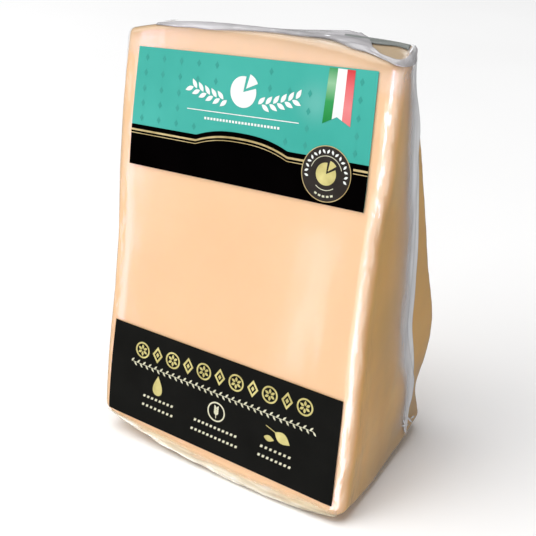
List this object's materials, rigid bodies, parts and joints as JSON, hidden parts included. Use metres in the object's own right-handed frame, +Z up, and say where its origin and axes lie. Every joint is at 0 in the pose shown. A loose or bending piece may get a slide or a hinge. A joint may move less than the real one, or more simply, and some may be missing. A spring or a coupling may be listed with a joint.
{
  "type": "vacuum-packed cheese wedge",
  "caption": "Wedge of hard aged cheese, tip up on its curved rind, shrunk in clear welded film with a teal and black printed field above and a black one below.",
  "frame": {"origin": "under the middle of the pack, on the surface that it stands on", "axes": "+Z up from the heel to the tip, +X to the right seen from the labelled front, the front looks along -Y"},
  "size_m": [0.126, 0.0782, 0.179],
  "materials": {
    "cheese": "cream-coloured hard cheese, pressed smooth under clear film; matte plastic stands in for the food",
    "film": "clear, glossy shrunk film, blue-grey where it is folded and welded",
    "teal_print": "teal and black printed film with pale gold lines, semi-gloss",
    "black_print": "black printed film with pale gold motifs, semi-gloss"
  },
  "bodies": {
    "root": {"packed_wedge": "cheese", "upper_label": "teal_print", "lower_label": "black_print"}
  },
  "joints": []
}
